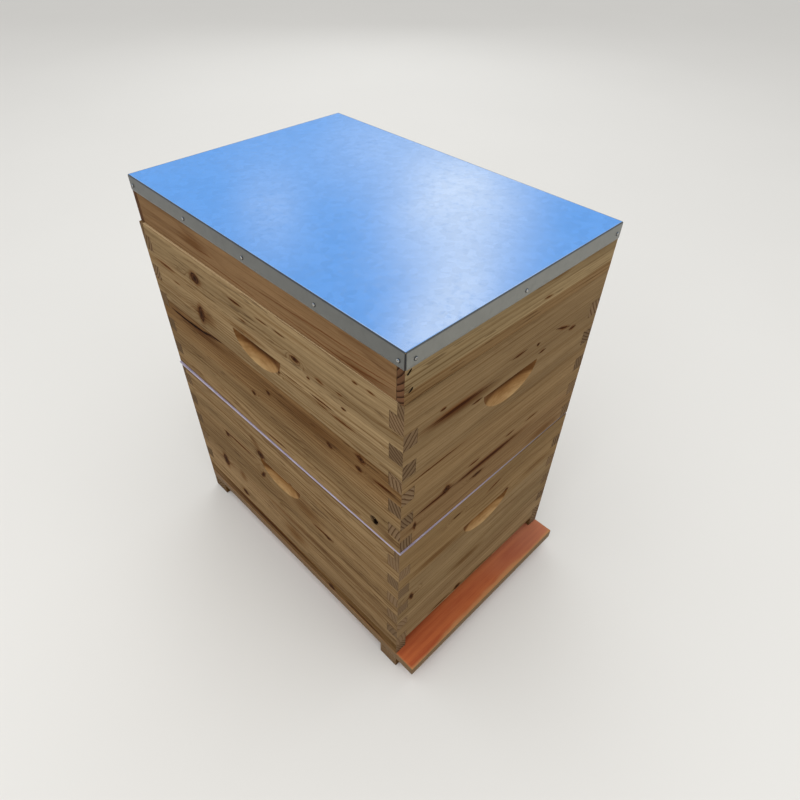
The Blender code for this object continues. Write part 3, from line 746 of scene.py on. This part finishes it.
eased("floor_board", "_sheet", ply(), 0.0008, 3)
floor_looks = {
    "floor_rail_left": dict(
        order="yzx", knots=[(-104, 51, 6, 6, 0)], streaks=[(60, 60, 160, 2.4, 0), (-180, 52, 50, 1.6, 0)],
        stains=[(80, 62, 200, 11, 0)], strips=((0, (1, 1, 1), 0.02, -0.205, 3.0),)),
    "floor_rail_right": dict(
        order="yzx", knots=[(70, 58, 5, 5, 0)], stains=[(-60, 60, 160, 8, 0)],
        strips=((0, (1, 1, 1), 0.09, 0.205, 3.2),)),
    "floor_rail_back": dict(order="xzy", strips=((0, (1, 1, 1), 0.02, 0.30, 3.0),)),
    "floor_cleat_front": dict(order="xyz", strips=((-400, (0.8, 0.78, 0.74), -0.20, -0.03, 3.0),)),
    "floor_cleat_back": dict(order="xyz", strips=((-400, (0.8, 0.78, 0.74), 0.22, -0.03, 3.2),)),
}
for i, (node, look) in enumerate(floor_looks.items()):
    look = centred(look, CENTRE[look["order"][0]])
    material = wood(node + "_wood", tone=(0.138, 0.078, 0.030), seed=21.0 + i, **look)
    eased(node, "_batten", material, 0.0007)


# ---- excluder
def plastic():
    g = Graph("excluder_moulded_plastic", 0.42)
    cloudy = g.noise(g.point, 40.0, 3.0, 0.6)
    scuffs = g.stretched(g.point, (60.0, 400.0, 60.0), 2.0, 0.6)
    color = g.mix(g.step(cloudy, 0.3, 0.7), (0.29, 0.255, 0.37), (0.38, 0.34, 0.46))
    color = g.mix(g.part(0.35, scuffs, 0.6, 0.8), color, (0.80, 0.78, 0.86))
    facing = g.facing()
    # painted shade: the front edge darkened to brown towards its right end, where it recedes behind the box face
    toward_right_end = g.times(g.step(facing[1], -0.5, -0.8), g.step(g.fma(cloudy, 0.08, g.split(g.point)[0]), -0.02, 0.16))
    color = g.mix(g.times(toward_right_end, 0.75), color, (0.14, 0.11, 0.085))
    # front-facing edges painted darker all along: painted shade
    color = g.wash(g.step(facing[1], -0.5, -0.8), color, (0.60, 0.565, 0.55))
    g.set("Base Color", color)
    g.set("Roughness", g.fma(scuffs, 0.25, 0.32))
    g.set("Subsurface Weight", 0.08)
    g.set("Subsurface Scale", 0.002)
    g.set("Normal", g.bump(g.noise(g.point, 900.0, 2.0), 0.1, 0.0002))
    return g.material


eased("queen_excluder", "_grid", plastic(), 0.0)


# ---- metal cover
def galvanised(name, tint):
    """Zinc-coated sheet with faint spangle, smears and water marks; its flanges matt and painted darker than the
    top, the shade differing by side and along the bends.
    """
    g = Graph(name, 0.2, 1.0)
    cells = g.add("ShaderNodeTexVoronoi", g.shaken(g.point, 5.0, (0.01, 0.01, 0.01)))
    g.tune(cells, Scale=115.0)
    spangle = g.split(cells.outputs["Color"])[0]
    soft = g.noise(g.point, 14.0, 4.0, 0.6)
    mottle = g.noise(g.point, 150.0, 3.0, 0.6)
    color = g.mix(g.times(spangle, 0.28), tint, tuple(0.72 * c for c in tint))
    color = g.mix(g.part(0.10, mottle, 0.50, 0.80), color, tuple(0.6 * c for c in tint))
    facing = g.facing()
    flange_dull_and_shaded = g.under(facing[2], 0.90, 0.985)
    side = g.math("ABSOLUTE", facing[0])
    # left and right flanges painted darker than front and back: painted shade
    flange_shade_by_side = g.mix(side, (0.243, 0.235, 0.203), (0.148, 0.146, 0.131))
    color = g.wash(flange_dull_and_shaded, color, flange_shade_by_side)
    # a dark line painted along the bends: painted shade
    bent = g.times(flange_dull_and_shaded, g.step(facing[2], 0.12, 0.35))
    color = g.wash(g.times(bent, 0.75), color, (0.30, 0.28, 0.25))
    g.set("Base Color", color)
    rough = g.fma(soft, 0.14, 0.11)
    rough = g.fma(g.step(mottle, 0.45, 0.8), 0.06, rough)
    g.set("Roughness", g.fma(flange_dull_and_shaded, 0.22, rough))
    g.set("Metallic", g.fma(flange_dull_and_shaded, -0.65, 1.0))
    height = g.fma(spangle, 0.15, mottle)
    g.set("Normal", g.bump(height, 0.06, 0.0002))
    return g.material


SHEET, BEND = 0.0007, 0.0016  # the sheet's thickness and bend radius
OPEN_CORNER = 0.00049  # how far a flange's end draws back towards its lower edge
SAG = 0.00022  # how much the sheet's top rises and falls
NAIL_DROP = 0.0126  # from the cover's top to its nails
TOP_METAL = galvanised("cover_galvanised", (0.80, 0.83, 0.86))


def extreme(node, sx, sy):
    """The node's corner that lies furthest towards (sx, sy), at its top."""
    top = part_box(node)[1].z
    found = [v.co for v in NODES[node].data.vertices if v.co.z > top - 1e-5]
    return max(found, key=lambda c: sx * c.x + sy * c.y).copy()


def wave(x, y, size, seed):
    return mnoise.noise(Vector((x / size, y / size, seed)))


def metal_cover():
    """Sheet folded down on four sides, with the corners left open."""
    node = "lid_metal_cover"
    low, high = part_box(node)
    near, right, left = extreme(node, -1, -1), extreme(node, 1, -1), extreme(node, -1, 1)
    ax, ay = (right - near).normalized(), (left - near).normalized()
    wide, long = (right - near).length, (left - near).length
    bm = bmesh.new()

    def place(a, b, z):
        p = near + ax * a + ay * b
        return Vector((p.x, p.y, z))

    def crown(a, b):
        """The sheet is not quite flat between its nails."""
        inset = min(a, wide - a, b, long - b)
        calm = min(1.0, inset / 0.05)
        return -SAG + calm * SAG * wave(a, b, 0.16, 3.0)

    def stations(size, count):
        """Even steps, with one close to each bend so that its shading stays narrow."""
        inner = [BEND + 0.001 + (size - 2 * BEND - 0.002) * i / count for i in range(count + 1)]
        return [BEND, *inner, size - BEND]

    xs, ys = stations(wide, 44), stations(long, 62)
    nx, ny = len(xs) - 1, len(ys) - 1
    grid = [[bm.verts.new(place(a, b, high.z + crown(a, b))) for b in ys] for a in xs]
    for i in range(nx):
        for j in range(ny):
            bm.faces.new((grid[i][j], grid[i + 1][j], grid[i + 1][j + 1], grid[i][j + 1]))
    drop = high.z - low.z - BEND

    def fold(edge, spots, out):
        """Bend and flange hung on one edge of the grid. out points away from the sheet."""
        count = len(edge)
        rows = [edge]
        steps = [(BEND * math.sin(t), BEND * (1 - math.cos(t))) for t in map(math.radians, range(18, 91, 18))]
        steps += [(BEND, BEND + drop * k / 8.0) for k in range(1, 9)]
        for away, down in steps:
            row = []
            for k, (v, s) in enumerate(zip(edge, spots)):
                share = max(0.0, (down - BEND) / drop)
                bow = 0.00045 * share * wave(s * 6.0, out.x * 3 + out.y * 5, 0.35, 9.0)
                trim = OPEN_CORNER * share if k in (0, count - 1) else 0.0
                inward = (edge[1].co - edge[0].co).normalized() * (trim if k == 0 else -trim)
                tip = 0.0003 * share * wave(s * 4.0, out.y + 2.0, 0.2, 5.0)
                down_by = Vector((0, 0, down - 0.0002 - tip - 0.0002 * share))
                row.append(bm.verts.new(v.co + inward + out * (away - SHEET / 2 + bow) - down_by))
            for k in range(count - 1):
                bm.faces.new((rows[-1][k], rows[-1][k + 1], row[k + 1], row[k]))
            rows.append(row)

    fold([grid[i][0] for i in range(nx + 1)], xs, -ay)
    fold([grid[i][ny] for i in range(nx, -1, -1)], xs, ay)
    fold([grid[0][j] for j in range(ny, -1, -1)], ys, -ax)
    fold([grid[nx][j] for j in range(ny + 1)], ys, ax)
    bmesh.ops.recalc_face_normals(bm, faces=bm.faces)
    if sum(f.normal.z for f in bm.faces) < 0:
        bmesh.ops.reverse_faces(bm, faces=bm.faces)
    piece = mesh_object("lid_metal_cover_sheet", bm, TOP_METAL, math.radians(50.0))
    sheet = piece.modifiers.new("sheet", "SOLIDIFY")
    sheet.thickness, sheet.offset = SHEET - 0.0002, -1.0
    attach(piece, "lid")
    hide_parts(node)
    return near, ax, ay, wide, long, low, high


near, lid_x, lid_y, lid_wide, lid_long, cover_low, cover_high = metal_cover()


def steel():
    g = Graph("nail_steel", 0.35, 0.7)
    grime = g.noise(g.point, 700.0, 3.0, 0.6)
    g.set("Base Color", g.mix(g.step(grime, 0.35, 0.7), (0.50, 0.485, 0.45), (0.13, 0.12, 0.10)))
    g.set("Roughness", g.fma(grime, 0.3, 0.2))
    return g.material


NAIL = steel()


def towards(direction):
    """The turn that takes +z to the direction."""
    return Vector((0, 0, 1)).rotation_difference(direction).to_matrix().to_4x4()


def nail_head(bm, centre, out, radius=0.0019, height=0.0008, tilt=(0.0, 0.0)):
    """A low domed head with a shank behind it."""
    turn = towards(out)
    lean = Matrix.Rotation(tilt[0], 4, "X") @ Matrix.Rotation(tilt[1], 4, "Y")
    around = circle(16)
    rows = []
    dome = (0.0, 1.0), (0.45, 0.93), (0.78, 0.70), (0.96, 0.36), (1.0, 0.12), (0.97, -0.05), (0.45, -0.10)
    for share, rise in dome:
        row = []
        for c, s in around if share else around[:1]:
            p = Vector((radius * share * c, radius * share * s, height * rise))
            row.append(bm.verts.new(centre + turn @ lean @ p))
        rows.append(row)
    shank = [Vector((0.0009 * c, 0.0009 * s, -0.004)) for c, s in around]
    foot = [bm.verts.new(centre + turn @ lean @ p) for p in shank]
    rows.append(foot)
    for k in range(16):
        bm.faces.new((rows[0][0], rows[1][k], rows[1][(k + 1) % 16]))
    for a, b in zip(rows[1:-1], rows[2:]):
        for k in range(16):
            bm.faces.new((a[k], b[k], b[(k + 1) % 16], a[(k + 1) % 16]))
    bm.faces.new(list(reversed(foot)))


def nail_shade_and_dirt(bm, centre, out):
    """A dark disc set a little below a nail head, showing as a ring round it: dirt, with a painted shadow under the
    head.
    """
    turn = towards(out)
    spot = Matrix.Translation(centre - out * 0.00025 - Vector((0, 0, 0.0004))) @ turn
    bmesh.ops.create_cone(bm, cap_ends=True, segments=16, radius1=0.0024, radius2=0.0023, depth=0.0007, matrix=spot)


def cover_nails():
    """Five nails down each long flange and three along each short one."""
    bm, marks = bmesh.new(), bmesh.new()
    z = cover_high.z - NAIL_DROP

    def drive(p, out, lift, tilt):
        spot = Vector((p.x, p.y, z + lift))
        nail_head(bm, spot + out * 0.0001, out, tilt=tilt)
        nail_shade_and_dirt(marks, spot, out)

    for i, along in enumerate((0.009, 0.126, 0.250, 0.373, 0.499)):
        tilt = (0.10 * math.sin(i * 3), 0.12 * math.cos(i * 5))
        for side, out in ((0.0, -lid_x), (lid_wide, lid_x)):
            drive(near + lid_x * side + lid_y * along, out, 0.0004 * math.sin(i * 2.1), tilt)
    for i, along in enumerate((0.0135, 0.174, 0.347)):
        tilt = (0.12 * math.cos(i * 3), 0.10 * math.sin(i * 5))
        for side, out in ((0.0, -lid_y), (lid_long, lid_y)):
            drive(near + lid_y * side + lid_x * along, out, 0.0005 * math.cos(i * 2.7), tilt)
    bmesh.ops.recalc_face_normals(bm, faces=bm.faces)
    piece = mesh_object("lid_cover_nails", bm, NAIL, math.radians(60.0))
    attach(piece, "lid")
    return marks


def dark_details(bm):
    """Dark discs round the nails, dirt with a painted shadow under each head, and dark rods standing in the cover's
    open corners as painted shade.
    """
    g = Graph("cover_shade_and_grime", 0.8)
    g.set("Base Color", g.mix(g.noise(g.point, 300.0), (0.012, 0.011, 0.010), (0.030, 0.028, 0.025)))
    tall = cover_high.z - cover_low.z - 0.0022
    # four dark rods in the open corners: painted shade in the gaps between the flanges
    inset, thick = 0.00112, 0.00062
    for a in (inset, lid_wide - inset):
        for b in (inset, lid_long - inset):
            p = near + lid_x * a + lid_y * b
            spot = Matrix.Translation((p.x, p.y, cover_low.z + 0.0006 + tall / 2))
            bmesh.ops.create_cone(
                bm, cap_ends=True, segments=8, radius1=thick, radius2=thick, depth=tall, matrix=spot)
    piece = mesh_object("lid_cover_shade_and_grime", bm, g.material)
    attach(piece, "lid")


dark_details(cover_nails())


# ---- frames
def wax():
    """Embossed beeswax sheet."""
    g = Graph("foundation_wax", 0.45)
    x, y, z = g.split(g.point)
    cell, root3 = 0.0054, 1.7320508
    px, pz = g.over(y, cell), g.over(z, cell * root3)

    def lattice(dx, dz):
        a = g.minus(g.math("FRACT", g.math("ADD", px, dx)), 0.5)
        b = g.minus(g.math("FRACT", g.math("ADD", pz, dz)), 0.5)
        return g.length(g.join(a, g.times(b, root3), 0.0))

    hexes = g.math("MINIMUM", lattice(0.0, 0.0), lattice(0.5, 0.5))
    patch = g.noise(g.point, 18.0, 3.0, 0.6)
    color = g.mix(g.step(patch, 0.35, 0.7), (0.62, 0.36, 0.075), (0.76, 0.50, 0.15))
    # cell hollows painted darker: painted shade in the recesses
    color = g.mix(g.step(hexes, 0.30, 0.55), g.tint(color, (0.80, 0.72, 0.60)), color)
    g.set("Base Color", color)
    g.set("Roughness", g.fma(patch, 0.25, 0.33))
    g.set("Subsurface Weight", 0.25)
    g.set("Subsurface Scale", 0.003)
    g.set("Normal", g.bump(g.step(hexes, 0.15, 0.56), 0.6, 0.0007))
    return g.material


WAX = wax()
frame_wood = {
    i: wood(
        f"frame_pine_{i}", order="yxz", tone=(0.50, 0.36, 0.20), seed=30.0 + i, late_share=0.4,
        strips=((-400, (1, 1, 1), 0.01 * i, 0.40, 2.6),))
    for i in range(2)
}
END_WOOD = wood(
    "frame_end_bar_pine", order="zxy", tone=(0.50, 0.36, 0.20), seed=35.0, late_share=0.4,
    strips=((-400, (1, 1, 1), 0.02, 0.30, 2.4),))
END_BAR_INSIDE, END_BAR_OUTSIDE = 0.2125, 0.2245  # from a frame's middle to its end bars' faces
TOP_BAR = 0.0202  # thickness
WIRE_FIRST, WIRE_STEP, WIRE_SHORT = 0.030, 0.047, 0.009  # above the wax's foot, apart, off each end


def framework(node, index):
    """The frame's own shape; its end bars take wood with upright grain."""
    bm = merged(node)
    low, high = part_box(node)
    middle = (low.y + high.y) / 2.0
    for face in bm.faces:
        c = face.calc_center_median()
        face.material_index = int(abs(c.y - middle) > END_BAR_INSIDE and c.z < high.z - TOP_BAR)
    piece = mesh_object(node + "_sticks", bm, frame_wood[index % 2])
    piece.data.materials.append(END_WOOD)
    bevel(piece, 0.0005)
    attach(piece, BODY_OF[node])
    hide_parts(node)


def tube(bm, a, b, radius):
    """A straight closed rod between two points."""
    direction = b - a
    matrix = Matrix.Translation((a + b) / 2.0) @ towards(direction)
    bmesh.ops.create_cone(
        bm, cap_ends=True, segments=8, radius1=radius, radius2=radius, depth=direction.length, matrix=matrix)


def wiring(prefix, i):
    """Four wires across the wax, tied off on nails at the end bars, and the nails that hold the bars."""
    node = f"{prefix}_frame_{i}"
    low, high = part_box(node)
    wax_low, wax_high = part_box(f"{prefix}_foundation_{i}")
    x = (low.x + high.x) / 2.0
    middle = (low.y + high.y) / 2.0
    bm = bmesh.new()
    levels = [wax_low.z + WIRE_FIRST + WIRE_STEP * k for k in range(4)]
    for k, z in enumerate(levels):
        face = wax_high.x + 0.0001 if k % 2 == 0 else wax_low.x - 0.0001
        reach = END_BAR_OUTSIDE - WIRE_SHORT
        tube(bm, Vector((face, middle - reach, z)), Vector((face, middle + reach, z)), 0.00025)
    nails = [(z, 0.0016, 0.0006) for z in (high.z - 0.030, low.z + 0.006)]
    nails += [(z, 0.0011, 0.0005) for z in levels]
    for side in (-1, 1):
        y = middle + side * (END_BAR_OUTSIDE - 0.00045)
        for z, radius, height in nails:
            nail_head(bm, Vector((x, y, z)), Vector((0, side, 0)), radius, height)
    bmesh.ops.recalc_face_normals(bm, faces=bm.faces)
    piece = mesh_object(f"{prefix}_frame_{i}_wires", bm, NAIL, math.radians(60.0))
    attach(piece, BODY_OF[node])


for prefix in ("brood", "honey"):
    for i in range(1, 9):
        framework(f"{prefix}_frame_{i}", i)
        wiring(prefix, i)
        sheet = NODES[f"{prefix}_foundation_{i}"]
        for material_slot in sheet.material_slots:
            material_slot.material = WAX


# ---- stage, light, camera
def studio():
    g = Graph("studio_floor", 0.9)
    tone = g.noise(g.point, 1.3, 3.0, 0.5)
    g.set("Base Color", g.mix(tone, (0.70, 0.70, 0.685), (0.73, 0.73, 0.715)))
    g.set("Specular IOR Level", 0.0)
    bm = bmesh.new()
    bmesh.ops.create_grid(bm, x_segments=2, y_segments=2, size=30.0)
    ground = mesh_object("studio_ground", bm, g.material)
    ground.location = (0.0, 0.0, -0.0002)


studio()


# soft lights turned to the hive's middle, and not seen in the metal
for name, place, size, power, color in (
    ("top_softbox", (-0.5, -0.1, 3.2), 3.6, 34.0, (1.0, 0.99, 0.975)),
    ("left_softbox", (-2.8, -0.2, 1.7), 2.2, 15.0, (1.0, 0.985, 0.96)),
    ("front_softbox", (0.6, -3.0, 1.7), 2.2, 12.0, (1.0, 0.99, 0.975)),
    ("rear_softbox", (2.2, 2.4, 1.9), 2.4, 13.0, (0.98, 0.99, 1.0)),
):
    light = bpy.data.lights.new(name, "AREA")
    light.shape, light.size, light.energy, light.color = "DISK", size, power, color
    lamp = link(bpy.data.objects.new(name, light))
    lamp.location = place
    lamp.rotation_mode = "QUATERNION"
    lamp.rotation_quaternion = (Vector((0.0, 0.0, 0.3)) - Vector(place)).to_track_quat("-Z", "Y")
    lamp.visible_glossy = False

EYE = Vector((-0.4672, -0.5111, 0.9390))  # the camera of the photo


def sky():
    """Even pale light all round; what shines in the metal is a soft blue sky."""
    world = bpy.data.worlds.new("studio_world")
    bpy.context.scene.world = world
    world.use_nodes = True
    tree = world.node_tree
    tree.nodes.clear()
    g = Nodes(tree)
    x, y, z = g.split(g.add("ShaderNodeTexCoord").outputs["Generated"])
    rise = g.math("MAXIMUM", z, 0.04)
    height = 0.3164  # from the cover up to the camera; q is where its mirror ray met the cover
    q = g.join(g.fma(g.over(x, rise), height, EYE.x), g.fma(g.over(y, rise), height, EYE.y), 0.0)
    q2 = g.shaken(q, 7.0, (0.12, 0.12, 0.0))
    band = g.spots(q2, [(112, -52, 262, 108, 36), (-105, -212, 170, 52, 36)])
    thin = g.spots(q2, [(-95, 60, 110, 42, 48), (130, 130, 160, 110, 30)])
    far = g.noise(q, 2.2, 4.0, 0.55)
    blue = g.mix(g.step(z, 0.05, 0.75), (0.195, 0.485, 1.04), (0.160, 0.425, 0.96))
    cloud = (0.98, 1.08, 1.22)
    tone = g.mix(g.times(g.under(band, 0.0, 1.25), 0.9), blue, cloud)
    tone = g.mix(g.times(g.under(thin, 0.0, 1.3), 0.45), tone, cloud)
    away = g.step(g.length(q), 0.55, 1.1)
    tone = g.mix(g.times(g.times(away, g.step(far, 0.45, 0.75)), 0.8), tone, cloud)
    tone = g.mix(g.step(z, 0.26, 0.10), tone, (0.50, 0.51, 0.50))
    path = g.add("ShaderNodeLightPath")
    pale = g.add("ShaderNodeBackground", (1.0, 0.985, 0.965, 1.0), 0.80)
    blue_sky = g.add("ShaderNodeBackground", tone, 1.0)
    pick = g.add("ShaderNodeMixShader", path.outputs["Is Glossy Ray"], pale.outputs[0], blue_sky.outputs[0])
    g.add("ShaderNodeOutputWorld", pick.outputs[0])


sky()


def camera():
    data = bpy.data.cameras.new("camera")
    data.sensor_width, data.lens = 36.0, 26.875
    data.shift_x, data.shift_y = 0.0091, 0.0079
    yaw, pitch, roll = math.radians(44.986), math.radians(43.558), math.radians(0.889)
    forward = Vector((math.cos(yaw) * math.cos(pitch), math.sin(yaw) * math.cos(pitch), -math.sin(pitch)))
    side = Vector((math.sin(yaw), -math.cos(yaw), 0.0))
    up = side.cross(forward)
    right = math.cos(roll) * side + math.sin(roll) * up
    up = right.cross(forward)
    obj = link(bpy.data.objects.new("camera", data))
    turn = Matrix((right, up, -forward)).transposed().to_4x4()
    obj.matrix_world = Matrix.Translation(EYE) @ turn
    bpy.context.scene.camera = obj


camera()
view = bpy.context.scene.view_settings
view.view_transform = "Standard"
view.look = "None"
